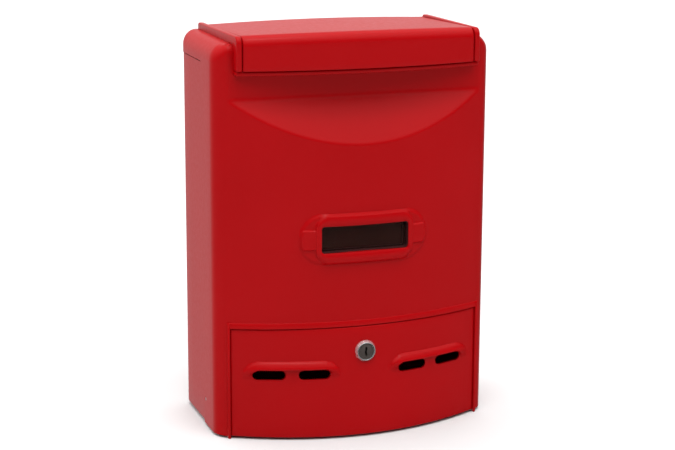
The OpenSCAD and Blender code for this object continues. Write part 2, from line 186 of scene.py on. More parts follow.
def round_rect(x, z, half, radius):
    """Signed distance to a rounded rectangle's outline: negative inside it."""
    qx = np.abs(x) - (half[0] - radius)
    qz = np.abs(z) - (half[1] - radius)
    outside = np.hypot(np.maximum(qx, 0), np.maximum(qz, 0))
    return outside + np.minimum(np.maximum(qx, qz), 0) - radius


def sagitta_radius(half, sag):
    return (half * half + sag * sag) / (2 * sag)


def spans(*stops):
    """Stations along a line: spans(a, step, b, step, c) runs from a to b and on to c in even steps."""
    values = [float(stops[0])]
    for step, end in zip(stops[1::2], stops[2::2]):
        count = max(1, round(abs(end - values[-1]) / step))
        values += list(np.linspace(values[-1], end, count + 1)[1:])
    return np.array(values)


def mirrored(values):
    """Stations from 0 upwards, made symmetric about 0."""
    values = np.asarray(values)
    return np.concatenate([-values[:0:-1], values])


def on_side(side, a, b):
    """The stretch from a to b, mirrored when side is -1, with its lower end first."""
    return sorted((side * a, side * b))


# ---------------------------------------------------------------- mesh helpers

BEVEL_ANGLE = math.radians(40)  # edges sharper than this are rounded
SHARP_ANGLE = math.radians(32)  # edges sharper than this are shaded as edges


def mesh_from(name, points, faces):
    """An object from points in this script's millimetres."""
    points = np.asarray(points, float).reshape(-1, 3) * MM
    points[:, 1] += cad_box[1][1]
    mesh = bpy.data.meshes.new(name)
    mesh.from_pydata(points.tolist(), [], [list(f) for f in faces])
    obj = bpy.data.objects.new(name, mesh)
    bpy.context.scene.collection.objects.link(obj)
    return obj


def grid_faces(rows, columns, keep=None, closed=False):
    """Quads of a grid of points.

    keep says for each cell whether it is wanted; closed joins the last column to the first.
    """
    faces = []
    for i in range(rows - 1):
        for j in range(columns if closed else columns - 1):
            if keep is None or keep[i, j]:
                k = (j + 1) % columns
                near, far = i * columns, (i + 1) * columns
                faces.append((near + j, near + k, far + k, far + j))
    return faces


def clean(obj, recalc=True):
    bm = bmesh.new()
    bm.from_mesh(obj.data)
    bmesh.ops.remove_doubles(bm, verts=bm.verts, dist=0.02 * MM)
    bmesh.ops.dissolve_degenerate(bm, edges=bm.edges, dist=0.01 * MM)
    bmesh.ops.delete(bm, geom=[v for v in bm.verts if not v.link_faces], context="VERTS")
    if recalc:
        bmesh.ops.recalc_face_normals(bm, faces=bm.faces)
    bm.to_mesh(obj.data)
    bm.free()
    return obj


def face_outwards(obj, centre):
    """Turns a sheet's faces so that most of them point away from a place inside it."""
    middle = Vector((centre[0] * MM, centre[1] * MM + cad_box[1][1], centre[2] * MM))
    votes = sum(f.area * (1 if f.normal.dot(f.center - middle) > 0 else -1) for f in obj.data.polygons)
    if votes < 0:
        obj.data.flip_normals()
    return obj


def apply_modifiers(obj):
    graph = bpy.context.evaluated_depsgraph_get()
    baked = bpy.data.meshes.new_from_object(obj.evaluated_get(graph))
    obj.modifiers.clear()
    old = obj.data
    obj.data = baked
    bpy.data.meshes.remove(old)
    return obj


def thicken(obj):
    """Gives a sheet its wall, which grows inwards."""
    solid = obj.modifiers.new("wall", "SOLIDIFY")
    solid.thickness = WALL * MM
    solid.offset = -1
    solid.use_even_offset = False
    solid.use_rim = True
    return clean(apply_modifiers(obj))


def moulding(name, rows, inside, keep=None, closed=False):
    """A wall of even thickness whose outer face is a grid of points; inside is a place behind it."""
    sheet = mesh_from(name, rows, grid_faces(len(rows), len(rows[0]), keep, closed))
    clean(sheet, recalc=False)
    face_outwards(sheet, inside)
    return thicken(sheet)


def prism(name, outline, axis, low, high, bevel=0.0, segments=3):
    """A straight-sided solid along an axis, on an outline in the plane of the other two axes."""
    outline = np.asarray(outline, float)
    others = [i for i in range(3) if i != axis]
    count = len(outline)
    points = np.zeros((2 * count, 3))
    points[:, others] = np.vstack([outline, outline])
    points[:count, axis] = low
    points[count:, axis] = high
    faces = [tuple(range(count)), tuple(range(2 * count - 1, count - 1, -1))]
    faces += [(i, (i + 1) % count, count + (i + 1) % count, count + i) for i in range(count)]
    obj = clean(mesh_from(name, points, faces))
    if bevel:
        round_edges(obj, bevel, segments)
    return obj


def round_edges(obj, radius, segments=3):
    bm = bmesh.new()
    bm.from_mesh(obj.data)
    sharp = [e for e in bm.edges if len(e.link_faces) == 2 and e.calc_face_angle(0) > BEVEL_ANGLE]
    bmesh.ops.bevel(bm, geom=sharp, offset=radius * MM, segments=segments, profile=0.5,
                    affect="EDGES", clamp_overlap=True)
    bm.to_mesh(obj.data)
    bm.free()
    return obj


def block(name, low, high, bevel=0.5):
    outline = [(low[0], low[1]), (high[0], low[1]), (high[0], high[1]), (low[0], high[1])]
    return prism(name, outline, 2, low[2], high[2], bevel)


def round_outline(half, radius, steps=8):
    """Points round a rounded rectangle about the origin."""
    points = []
    for quarter, (sx, sz) in enumerate([(1, 1), (-1, 1), (-1, -1), (1, -1)]):
        for i in range(steps + 1):
            a = math.radians(90 * (quarter + i / steps))
            points.append((sx * (half[0] - radius) + radius * math.cos(a),
                           sz * (half[1] - radius) + radius * math.sin(a)))
    return np.array(points)


def disc_outline(radius, centre):
    return round_outline((radius, radius), radius) + np.array(centre)


def window_outline(half, radius):
    """Points round a rounded rectangle about the window's middle."""
    return round_outline(half, radius) + np.array([0, WINDOW_Z])


def ring(name, outer, inner, axis, low, high, bevel=0.0):
    """A tube between two outlines with the same number of points."""
    others = [i for i in range(3) if i != axis]
    count = len(outer)
    points = np.zeros((4, count, 3))
    for k, (outline, place) in enumerate([(outer, low), (inner, low), (inner, high), (outer, high)]):
        points[k][:, others] = outline
        points[k][:, axis] = place
    faces = []
    for k in range(4):
        for i in range(count):
            j = (i + 1) % count
            m = (k + 1) % 4
            faces.append((k * count + i, k * count + j, m * count + j, m * count + i))
    obj = clean(mesh_from(name, points, faces))
    if bevel:
        round_edges(obj, bevel)
    return obj


def lathe(name, profile, x, z, segments=96):
    """A solid turned about a line along y. The profile is (radius, y) pairs; a radius of 0 closes an end."""
    angles = np.linspace(0, 2 * math.pi, segments, endpoint=False)
    profile = np.asarray(profile, float)
    points = np.zeros((len(profile), segments, 3))
    points[:, :, 0] = x + profile[:, :1] * np.cos(angles)
    points[:, :, 1] = profile[:, 1:]
    points[:, :, 2] = z + profile[:, :1] * np.sin(angles)
    return clean(mesh_from(name, points, grid_faces(len(profile), segments, closed=True)))


def join(name, parts):
    """Several meshes as one object."""
    bm = bmesh.new()
    for part in parts:
        bm.from_mesh(part.data)
    mesh = bpy.data.meshes.new(name)
    bm.to_mesh(mesh)
    bm.free()
    for part in parts:
        old = part.data
        bpy.data.objects.remove(part)
        bpy.data.meshes.remove(old)
    obj = bpy.data.objects.new(name, mesh)
    bpy.context.scene.collection.objects.link(obj)
    return obj


def cut(obj, cutters):
    """Takes the cutters' shapes out of an object."""
    tool = join("cutters", cutters)
    boolean = obj.modifiers.new("cut", "BOOLEAN")
    boolean.operation = "DIFFERENCE"
    boolean.solver = "EXACT"
    boolean.object = tool
    apply_modifiers(obj)
    mesh = tool.data
    bpy.data.objects.remove(tool)
    bpy.data.meshes.remove(mesh)
    return obj


def finish_piece(obj, body, material, replaces=()):
    """Gives a piece its material and smooth shading, and ties it to its body and its CAD node."""
    obj.data.materials.clear()
    obj.data.materials.append(material)
    obj.data.polygons.foreach_set("use_smooth", [True] * len(obj.data.polygons))
    obj.data.set_sharp_from_angle(angle=SHARP_ANGLE)
    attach(obj, body)
    if replaces:
        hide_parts(*replaces)
    return obj


# ---------------------------------------------------------------- camera

CAMERA_AZIMUTH = math.radians(19.17)
CAMERA_ELEVATION = math.radians(13.16)
CAMERA_ROLL = math.radians(0.27)
CAMERA_DISTANCE = 1.880
CAMERA_TARGET = Vector((0.00607, 0.0255, 0.19064))
CAMERA_LENS = 98.0

camera_data = bpy.data.cameras.new("camera")
camera_data.lens = CAMERA_LENS
camera_data.sensor_width = 36
camera = bpy.data.objects.new("camera", camera_data)
bpy.context.scene.collection.objects.link(camera)
bpy.context.scene.camera = camera
forward = Vector((math.sin(CAMERA_AZIMUTH) * math.cos(CAMERA_ELEVATION),
                  math.cos(CAMERA_AZIMUTH) * math.cos(CAMERA_ELEVATION),
                  -math.sin(CAMERA_ELEVATION)))
camera.location = CAMERA_TARGET - forward * CAMERA_DISTANCE
camera.rotation_mode = "QUATERNION"
camera.rotation_quaternion = Quaternion(forward, -CAMERA_ROLL) @ forward.to_track_quat("-Z", "Y")


# ---------------------------------------------------------------- materials

def node_material(name, base, roughness, metallic=0.0, level=0.5, ior=1.45):
    material = bpy.data.materials.new(name)
    material.use_nodes = True
    shader = material.node_tree.nodes["Principled BSDF"]
    shader.inputs["Base Color"].default_value = (*base, 1)
    shader.inputs["Roughness"].default_value = roughness
    shader.inputs["Metallic"].default_value = metallic
    shader.inputs["Specular IOR Level"].default_value = level
    shader.inputs["IOR"].default_value = ior
    return material, material.node_tree.nodes, material.node_tree.links, shader


def noise(nodes, links, scale, detail):
    """A noise texture in object space, with scale in cycles per metre."""
    place = nodes.new("ShaderNodeTexCoord")
    texture = nodes.new("ShaderNodeTexNoise")
    texture.inputs["Scale"].default_value = scale
    texture.inputs["Detail"].default_value = detail
    links.new(place.outputs["Object"], texture.inputs["Vector"])
    return texture.outputs["Fac"]


def ramp(nodes, links, source, low, high):
    """Stretches a noise's usual values to run from low to high."""
    remap = nodes.new("ShaderNodeMapRange")
    remap.inputs["From Min"].default_value = 0.3
    remap.inputs["From Max"].default_value = 0.7
    remap.inputs["To Min"].default_value = low
    remap.inputs["To Max"].default_value = high
    links.new(source, remap.inputs["Value"])
    return remap.outputs["Result"]


def tint(nodes, links, source, colour_a, colour_b):
    mix = nodes.new("ShaderNodeMix")
    mix.data_type = "RGBA"
    mix.inputs["A"].default_value = (*colour_a, 1)
    mix.inputs["B"].default_value = (*colour_b, 1)
    links.new(source, mix.inputs["Factor"])
    return mix.outputs["Result"]


def bump(nodes, links, height, distance, strength, under=None):
    node = nodes.new("ShaderNodeBump")
    node.inputs["Distance"].default_value = distance
    node.inputs["Strength"].default_value = strength
    links.new(height, node.inputs["Height"])
    if under:
        links.new(under, node.inputs["Normal"])
    return node.outputs["Normal"]


def red_plastic():
    """Satin moulded plastic with a fine grain and a slight unevenness of colour and gloss."""
    material, nodes, links, shader = node_material("red_plastic", (0.36, 0.0005, 0.002), 0.33, level=0.15)
    blotch = ramp(nodes, links, noise(nodes, links, 9, 3), 0, 1)
    grain = noise(nodes, links, 1900, 2)
    ripple = noise(nodes, links, 28, 1)
    colour = tint(nodes, links, blotch, (0.35, 0.0004, 0.0018), (0.37, 0.0006, 0.0024))
    links.new(colour, shader.inputs["Base Color"])
    links.new(ramp(nodes, links, noise(nodes, links, 240, 3), 0.3, 0.36), shader.inputs["Roughness"])
    waves = bump(nodes, links, ripple, 0.0004, 0.12)
    links.new(bump(nodes, links, grain, 0.00006, 0.3, waves), shader.inputs["Normal"])
    return material


def plain(name, base, roughness, metallic=0.0, scale=300.0, spread=0.06):
    """A finish with a fine unevenness of gloss and a slight bump."""
    material, nodes, links, shader = node_material(name, base, roughness, metallic)
    fine = noise(nodes, links, scale, 3)
    links.new(ramp(nodes, links, fine, roughness - spread, roughness + spread), shader.inputs["Roughness"])
    darker = tuple(0.9 * c for c in base)
    links.new(tint(nodes, links, ramp(nodes, links, noise(nodes, links, 60, 2), 0, 1), darker, base),
              shader.inputs["Base Color"])
    links.new(bump(nodes, links, fine, 0.00003, 0.25), shader.inputs["Normal"])
    return material


def clear_pane():
    """Clear plastic sheet, mostly see-through, tinted dark red-brown as painted shade for the dim inside
    behind it.

    How much of the tint shows, and the gloss, vary a little over the sheet.
    """
    # painted shade: this dark red-brown stands in for the dim inside of the box seen through the pane
    base = (0.045, 0.016, 0.012)
    material, nodes, links, shader = node_material("clear_pane", base, 0.1, level=0.6, ior=1.49)
    links.new(ramp(nodes, links, noise(nodes, links, 90, 3), 0.05, 0.14), shader.inputs["Roughness"])
    links.new(ramp(nodes, links, noise(nodes, links, 35, 2), 0.42, 0.5), shader.inputs["Alpha"])
    return material


RED = red_plastic()
DARK = plain("dark_plastic", (0.05, 0.012, 0.012), 0.5)
PANE_PAINTED_SHADE = clear_pane()
CHROME = plain("chrome", (0.86, 0.85, 0.85), 0.12, metallic=0.82, scale=500, spread=0.03)
LOCK_STEEL = plain("lock_steel", (0.12, 0.1, 0.09), 0.36, metallic=0.5, scale=900, spread=0.1)
STEEL = plain("steel", (0.6, 0.6, 0.62), 0.32, metallic=1.0, scale=700, spread=0.08)
BRASS = plain("brass", (0.7, 0.48, 0.18), 0.3, metallic=1.0, scale=700)
RUBBER = plain("rubber", (0.03, 0.03, 0.032), 0.7, scale=900)
SLOT_MATERIALS = {"red_plastic": RED, "dark_plastic": DARK, "clear_pane": PANE_PAINTED_SHADE, "chrome": CHROME,
                  "lock_steel": LOCK_STEEL, "steel": STEEL, "brass": BRASS, "rubber": RUBBER}


# ---------------------------------------------------------------- housing outline

panel_r = sagitta_radius(CHORD, PANEL_SAG)
panel_y0 = EDGE_Y - PANEL_SAG + panel_r
fillet_x = HALF_W - FRONT_R
fillet_y = panel_y0 - math.sqrt((panel_r - FRONT_R) ** 2 - fillet_x ** 2)
fillet_turn = math.degrees(math.atan2(fillet_y - panel_y0, fillet_x))


def panel_y(x):
    """The bowed front panel's depth at x, before its corners and its crescent."""
    return panel_y0 - np.sqrt(panel_r ** 2 - np.asarray(x, float) ** 2)


def half_plan():
    """Stations from the back's middle round the right side to the front's middle.

    Each station is its x and y, its outward normal's x and y, and the name of its stretch.
    """
    stations = []
    for x in [0, 30, 60, 90, SLOT_HALF, RAIL_IN, RAIL_IN + 2, 125, HALF_W - REAR_R]:
        stations.append((x, 0, 0, 1, "back"))
    for a in np.linspace(90, 0, 9)[1:]:
        c, s = math.cos(math.radians(a)), math.sin(math.radians(a))
        stations.append((HALF_W - REAR_R + REAR_R * c, -REAR_R + REAR_R * s, c, s, "rear_corner"))
    for y in spans(-REAR_R, 18, SEAM_Y, 10, fillet_y)[1:]:
        stations.append((HALF_W, y, 1, 0, "side"))
    lip_turn = -math.degrees(math.acos((LIP_OUT - fillet_x) / FRONT_R))
    for a in spans(0, 6, lip_turn, 6, fillet_turn)[1:]:
        c, s = math.cos(math.radians(a)), math.sin(math.radians(a))
        stations.append((fillet_x + FRONT_R * c, fillet_y + FRONT_R * s, c, s, "fillet"))
    edges = spans(LIP_IN, 2, 125, 2, RAIL_IN + 2, 2, RAIL_IN, 2, SLOT_HALF, 2, 71, 1.25, 0)
    for x in edges:
        y = float(panel_y(x))
        stations.append((x, y, x / panel_r, (y - panel_y0) / panel_r, "front"))
    return stations


def crescent_y(z):
    """The plane that cuts the bow back to the flat zone under the flap, as a depth at each height."""
    slope = PANEL_SAG / CRESCENT_H
    drop = smooth_max(CRESCENT_Z - z, 0 * z, 2.5)
    return EDGE_Y - slope * drop


def surround_rise(x, z):
    """How far the window surround stands ahead of the panel: lobes, a rounded frame and a bridge."""
    z = z - WINDOW_Z
    pad = -round_rect(x, z, SURROUND_HALF, 24)
    frame_d = round_rect(x, z, np.array([50.5, SURROUND_HALF[1] - 0.4]), 15)
    open_d = round_rect(x, z, WINDOW_HALF, 3.5)
    band = np.clip(open_d / np.maximum(open_d - frame_d, 1e-6), 0, 1)
    dome = np.sin(math.pi * band ** 0.85) ** 0.7 * (frame_d < 0) * (open_d > 0)
    bridge = smoothstep(-0.2, 1.4, -round_rect(x, z, np.array([64.6, 10.2]), 4))
    lobe = 1.6 * smoothstep(-0.3, 2.0, pad)
    frame_rise = 1.0 * smoothstep(-0.2, 1.2, -frame_d) + 1.5 * dome
    upper = np.maximum(frame_rise, 1.9 * bridge)
    return lobe + upper * smoothstep(-0.2, 1.6, pad)


def cover_point(station, z):
    """A point of the cover's wall: the plan's outline, with the crescent and the window surround."""
    x, y, nx, ny, stretch = station
    if stretch in ("front", "fillet"):
        y = float(smooth_max(np.array(y), crescent_y(np.array(float(z))), 0.6))
        if stretch == "front":
            y -= float(surround_rise(np.array(x), np.array(float(z))))
    return x, y, z


def roll_radius(station):
    """Radius of the edge between the wall and the top at a station."""
    if station[4] in ("back", "rear_corner"):
        return SHOULDER_R
    return FRONT_EDGE_R + (SHOULDER_R - FRONT_EDGE_R) * float(smoothstep(0.3, 1.0, abs(station[2])))


def between_rails(x, stretch):
    return abs(x) < RAIL_IN + 1 and stretch in ("back", "front")


def roll_row(loop, a):
    """A row of the top edge, at an angle that runs from 0 at its foot to a quarter turn at its top."""
    row = []
    for station in loop:
        x, y, z = cover_point(station, ROLL_FOOT_Z)
        nx, ny, stretch = station[2:]
        r = roll_radius(station)
        inset = r * (1 - math.cos(a))
        z = SHOULDER_Z - r + r * math.sin(a)
        if between_rails(x, stretch):
            row.append((x, y, DECK_Z - 2 + 2 * math.sin(a)))
        elif stretch in ("back", "rear_corner"):
            row.append((math.copysign(min(abs(x), HALF_W - inset), x), y, z))
        elif stretch == "front":
            row.append((x, y + inset, z))
        else:
            row.append((x - nx * inset, y - ny * inset, z))
    return row


def top_row(loop, edge, t):
    """A row of the top, at a share t of the way from its rounded edge to the rails."""
    shoulder_x = RAIL_IN + 2
    row = []
    for station, (x, y, z) in zip(loop, edge):
        stretch = station[4]
        if between_rails(x, stretch):
            row.append((x, y + (3 * t if stretch == "front" else -3 * t), z))
            continue
        if stretch in ("back", "rear_corner"):
            reach = (abs(x) - shoulder_x) / (HALF_W - SHOULDER_R - shoulder_x)
            target_y = -14 * np.clip(reach, 0, 1) + min(0, y + 2) * 0.3
        elif stretch == "side":
            target_y = y
        else:
            share = (abs(station[0]) - shoulder_x) / (HALF_W - shoulder_x)
            target_y = fillet_y + (EDGE_Y + 8 - fillet_y) * (1 - np.clip(share, 0, 1))
        target_x = math.copysign(shoulder_x, x)
        row.append((x + (target_x - x) * t, y + (target_y - y) * t, z))
    return row


def cover_sheet():
    """The cover's wall and top, open at the door, at the slot and where the rear shell takes over."""
    right = half_plan()
    loop = right + [(-x, y, -nx, ny, stretch) for x, y, nx, ny, stretch in right[-2:0:-1]]
    heights = spans(BASE_Z, 12, LIP_LOW, 6, LIP_TOP, 10, WINDOW_Z - 29, 1.25, WINDOW_Z + 29,
                    8, CRESCENT_Z - CRESCENT_H - 7, 1.5, CRESCENT_Z + 5.5,
                    8, STRIP_Z - 5, 5, STRIP_Z, 3, CAP_Z, 1, SLOT_SILL_Z, 2, ROLL_FOOT_Z)
    rows = [[cover_point(station, z) for station in loop] for z in heights]
    rows += [roll_row(loop, a) for a in np.radians(np.linspace(0, 90, 10))]
    edge = rows[-1]
    rows += [top_row(loop, edge, t) for t in (0.4, 1.0)]
    points = np.array(rows)
    centre = (points[:-1] + points[1:]) / 2
    centre = (centre + np.roll(centre, -1, axis=1)) / 2
    cx, cy, cz = centre[..., 0], centre[..., 1], centre[..., 2]
    front = cy < EDGE_Y + 20
    keep = ~((cz < CAP_Z) & (cy > SEAM_Y))
    keep &= ~((np.abs(cx) < LIP_IN) & (cz < LIP_LOW) & front)
    keep &= ~((np.abs(cx) < SLOT_HALF) & (cz > SLOT_SILL_Z) & front)
    return moulding("cover_sheet", points, (0, -60, 200), keep, closed=True)


def flap_front_y(x):
    return FLAP_EDGE_Y - FLAP_SAG * (1 - (np.asarray(x) / FLAP_HALF) ** 2)


def rails():
    """The two walls beside the flap, with a rounded corner at the top of their front."""
    foot_z = STRIP_Z + 0.3
    outline = [(-1, 378), (EDGE_Y + 4, foot_z), (FLAP_EDGE_Y, foot_z)]
    for a in np.radians(np.linspace(180, 90, 11)):
        outline.append((FLAP_EDGE_Y + RAIL_FOLD * (1 + math.cos(a)), RAIL_Z - RAIL_FOLD * (1 - math.sin(a))))
    outline += [(-2, RAIL_Z - RAIL_RISE), (0, RAIL_Z - RAIL_RISE - 2)]
    return [prism("rail", outline, 0, *on_side(side, RAIL_IN, RAIL_OUT), bevel=1.5, segments=4)
            for side in (-1, 1)]


def ledge():
    """The strip under the flap and the rails, which follows the flap's bow."""
    xs = mirrored(spans(0, 6, FLAP_HALF - STRIP_INSET))
    outline = [(x, float(flap_front_y(x)) + STRIP_INSET) for x in xs]
    end_y = FLAP_EDGE_Y + STRIP_INSET
    root_y = EDGE_Y + 4
    outline = [(-RAIL_OUT, root_y), (-RAIL_OUT, end_y)] + outline + [(RAIL_OUT, end_y), (RAIL_OUT, root_y)]
    return prism("ledge", outline, 2, STRIP_Z - 4, STRIP_Z, bevel=1.3, segments=3)


def deck():
    """The flat plate under the flap, with the mail slot cut into its front."""
    front_y = EDGE_Y + 1.5
    outline = [(-DECK_HALF, -1), (-DECK_HALF, front_y), (-SLOT_HALF, front_y), (-SLOT_HALF, SLOT_REAR_Y),
               (SLOT_HALF, SLOT_REAR_Y), (SLOT_HALF, front_y), (DECK_HALF, front_y), (DECK_HALF, -1)]
    return prism("deck", outline, 2, DECK_Z - WALL, DECK_Z, bevel=0.8)


def band(name, out, depth, z_low, z_high, half, bevel):
    """A bar that follows the bowed front, from out ahead of it to depth behind it."""
    xs = mirrored(spans(0, 4, half))
    y = panel_y(np.minimum(np.abs(xs), LIP_IN + 0.9))
    outline = [(x, yy - out) for x, yy in zip(xs, y)]
    outline += [(x, yy + depth) for x, yy in zip(xs[::-1], y[::-1])]
    return prism(name, outline, 2, z_low, z_high, bevel)


def door_frame():
    """The raised lip over the door and down its sides, the shelf behind it and the stops beside the door."""
    lip = band("lip", 1.5, 1.0, LIP_LOW, LIP_TOP, LIP_OUT - 0.4, 0)
    for v in lip.data.vertices:
        face_y = float(panel_y(min(abs(v.co.x) / MM, LIP_IN))) * MM + cad_box[1][1]
        if v.co.z > (LIP_TOP - 1) * MM and v.co.y < face_y:
            v.co.y += LIP_TILT * MM
    parts = [round_edges(lip, 0.6), band("shelf", -1.0, 14, LIP_LOW, DOOR_TOP + 3, LIP_IN, 0.4)]
    for side in (-1, 1):
        lip_x = on_side(side, LIP_IN, LIP_OUT)
        stop_x = on_side(side, LIP_IN - 7, LIP_OUT)
        parts.append(block("jamb", (lip_x[0], EDGE_Y - 1.4, 0), (lip_x[1], EDGE_Y + 14, LIP_TOP), 0.7))
        parts.append(block("stop", (stop_x[0], EDGE_Y + 16, STOP_LOW),
                           (stop_x[1], EDGE_Y + 18.5, STOP_HIGH), 0.5))
        parts.append(block("stop_rib", (lip_x[0], EDGE_Y + 13, STOP_LOW),
                           (lip_x[1], EDGE_Y + 18, STOP_HIGH), 0.3))
    return parts


def window_cutter():
    return prism("opening", window_outline(WINDOW_HALF, 3), 1, -200, -140)


def side_recesses():
    """Cutters for the screw heads in the sides."""
    low, high = box_mm("side_screws")
    outline = disc_outline(SIDE_HEAD_R, (low[1:] + high[1:]) / 2)
    return [prism("recess", outline, 0, *on_side(side, HALF_W - 1.5, HALF_W + 1)) for side in (-1, 1)]


def base_recesses():
    """Cutters for the screw heads under the base."""
    low, high = box_mm("bottom_screws")
    head_x = high[0] - 2.5
    head_y = (low[1] + high[1]) / 2
    return [prism("recess", disc_outline(BASE_HEAD_R, (side * head_x, head_y)), 2, BASE_Z - 1, BASE_Z + 1.4)
            for side in (-1, 1)]


def catch_bosses():
    """Bosses behind the panel for the catch plate's screws."""
    profile = [(0, -155), (4, -155), (4, -141.2), (3.4, -140.9), (0, -140.9)]
    return [lathe("boss", profile, side * CATCH_SCREW_X, LIP_TOP + 4, 32) for side in (-1, 1)]


def front_cover():
    shell = cut(cover_sheet(), [window_cutter(), *side_recesses()])
    tunnel_y = (EDGE_Y - PANEL_SAG, pane_low[1] - 0.1)
    tunnel = cut(prism("tunnel", window_outline(TUNNEL_HALF, 6), 1, *tunnel_y, 0.3), [window_cutter()])
    base = block("base", (-HALF_W + 4, EDGE_Y + 16, BASE_Z), (HALF_W - 4, SEAM_Y, BASE_Z + WALL), 0.5)
    parts = [shell, tunnel, ledge(), deck(), *rails(), *door_frame(), cut(base, base_recesses()),
             *catch_bosses()]
    return finish_piece(join("front_cover_moulding", parts), "housing", RED, ["front_cover"])


def window_gasket():
    """Dark seal that lines the window's opening in front of the pane, with a bead on the pane."""
    outer = window_outline(WINDOW_HALF - 0.05, 3)
    inner = window_outline(WINDOW_HALF - 0.6, 2.6)
    seal = ring("seal", outer, inner, 1, EDGE_Y - PANEL_SAG + 1, pane_low[1] - 0.05, 0.1)
    outer = window_outline(WINDOW_HALF - np.array([2.6, 1.9]), 2)
    inner = window_outline(WINDOW_HALF - np.array([3.2, 2.4]), 1.6)
    bead = ring("bead", outer, inner, 1, pane_low[1] - 0.45, pane_low[1] - 0.05, 0.12)
    return finish_piece(join("window_gasket", [seal, bead]), "housing", DARK)


# ---------------------------------------------------------------- rear shell

def shell_path(inset):
    """The rear shell's outline in plan, from its left front edge round the back to its right one."""
    left = [(-SHELL_HALF + inset, y) for y in spans(SHELL_FRONT_Y, 20, -REAR_R)]
    r = REAR_R - inset
    for a in np.radians(np.linspace(180, 90, 9)[1:]):
        left.append((-SHELL_HALF + REAR_R + r * math.cos(a), -REAR_R + r * math.sin(a)))
    back_y = left[-1][1]
    back = [(x, back_y) for x in np.linspace(-SHELL_HALF + REAR_R, SHELL_HALF - REAR_R, 9)[1:-1]]
    return left + back + [(-x, y) for x, y in left[::-1]]


def rear_shell():
    rows = []
    for a in np.radians(np.linspace(0, 90, 6)):
        z = BASE_Z + SHELL_FOOT_R * (1 - math.cos(a))
        rows.append([(x, y, z) for x, y in shell_path(SHELL_FOOT_R * (1 - math.sin(a)))])
    for z in spans(BASE_Z + SHELL_FOOT_R, 30, SHELL_TOP)[1:]:
        rows.append([(x, y, z) for x, y in shell_path(0)])
    sheet = moulding("rear_sheet", rows, (0, -60, 200))
    parts = [sheet, prism("base", shell_path(2.4), 2, BASE_Z, BASE_Z + WALL, 0.2)]
    lap_y = (SEAM_Y - 12, SEAM_Y + 8)
    for side in (-1, 1):
        tongue_x = on_side(side, TONGUE_HALF - WALL, TONGUE_HALF)
        parts.append(block("tongue", (tongue_x[0], lap_y[0], 8), (tongue_x[1], lap_y[1], TONGUE_TOP), 0.5))
        pad_x = on_side(side, 76, 104)
        parts.append(block("pad", (pad_x[0], -30, 0), (pad_x[1], -14, BASE_Z + 1), 1.0))
    parts.append(block("tongue", (-TONGUE_HALF, lap_y[0], BASE_Z + 2.8),
                       (TONGUE_HALF, lap_y[1], BASE_Z + 5.3), 0.5))
    collar_half = TONGUE_HALF - 4
    parts.append(block("collar", (-collar_half, -5.3, CAP_Z - 8), (collar_half, -2.8, TONGUE_TOP), 0.5))
    boss = [(3, -5.5), (8.2, -5.5), (9, -4.7), (9, -2.2), (3, -2.2), (3, -5.5)]
    hole = [(0, -20), (3, -20), (3, -0.8), (3.8, 0.6), (0, 0.6)]
    holes = []
    for x in (-WALL_HOLE_X, WALL_HOLE_X):
        for z in WALL_HOLE_Z:
            parts.append(lathe("boss", boss, x, z, 48))
            holes.append(lathe("hole", hole, x, z, 48))
    cut(sheet, holes)
    return finish_piece(join("rear_moulding", parts), "housing", RED, ["rear_shell"])


# ---------------------------------------------------------------- flap

def flap_point(kind, t, x, depth, lip_r):
    """A point of the flap's outer face, moved in by depth.

    kind names the part of its profile, and t is the place on it: a share, or an angle on a rounded part.
    """
    front = float(flap_front_y(x))
    top = FLAP_REAR_Z + FLAP_CROWN * (1 - (x / FLAP_HALF) ** 2) + FLAP_RISE
    fold_y = front + FLAP_FOLD
    fold_z = top - FLAP_FOLD
    rear = flap_high[1]
    if kind == "top":
        y, z, ny, nz = rear + (fold_y - rear) * t, top - FLAP_RISE * (1 - t), 0, 1
    elif kind == "fold":
        ny, nz = math.cos(t), math.sin(t)
        y, z = fold_y + FLAP_FOLD * ny, fold_z + FLAP_FOLD * nz
    elif kind == "front":
        y, z, ny, nz = front, fold_z + (flap_low[2] + lip_r - fold_z) * t, -1, 0
    else:
        y = front + lip_r * (1 - math.cos(t))
        z, ny, nz = flap_low[2] + lip_r * (1 - math.sin(t)), -1, 0
    return x, y - ny * depth, z - nz * depth


def flap():
    edge_r = 1.3
    lip_r = 0.9
    curl = np.radians(np.linspace(0, 90, 5))
    columns = [(x, 0.0) for x in spans(0, 6, FLAP_HALF - edge_r)]
    columns += [(FLAP_HALF - edge_r + edge_r * math.sin(a), edge_r * (1 - math.cos(a))) for a in curl[1:]]
    columns += [(FLAP_HALF, 4.0), (FLAP_HALF, 8.0)]
    columns = [(-x, depth) for x, depth in columns[:0:-1]] + columns
    profile = [("top", t) for t in np.linspace(0, 1, 14)]
    profile += [("fold", a) for a in np.radians(np.linspace(90, 180, 13))[1:]]
    profile += [("front", t) for t in np.linspace(0, 1, 6)[1:]]
    profile += [("lip", a) for a in curl[1:]]
    rows = [[flap_point(kind, t, x, depth, lip_r) for x, depth in columns] for kind, t in profile]
    sheet = moulding("flap_sheet", rows, (0, -60, 300))
    centre = (rod_low[1:] + rod_high[1:]) / 2
    turn = np.linspace(0, 2 * math.pi, 40, endpoint=False)
    circle = np.column_stack([np.cos(turn), np.sin(turn)])
    barrel = ring("barrel", centre + 3.4 * circle, centre + 1.6 * circle, 0, -FLAP_HALF, FLAP_HALF, 0.3)
    return finish_piece(join("flap_moulding", [sheet, barrel]), "flap", RED, ["flap"])


# ---------------------------------------------------------------- door

def door_front_y(x, z):
    """The door's bow, which changes evenly from its foot to its top."""
    share = np.clip((z - BASE_Z) / (DOOR_TOP - BASE_Z), 0, 1)
    sag = DOOR_SAG + (DOOR_TOP_SAG - DOOR_SAG) * share
    return EDGE_Y - sag * (1 - (np.asarray(x) / CHORD) ** 2)


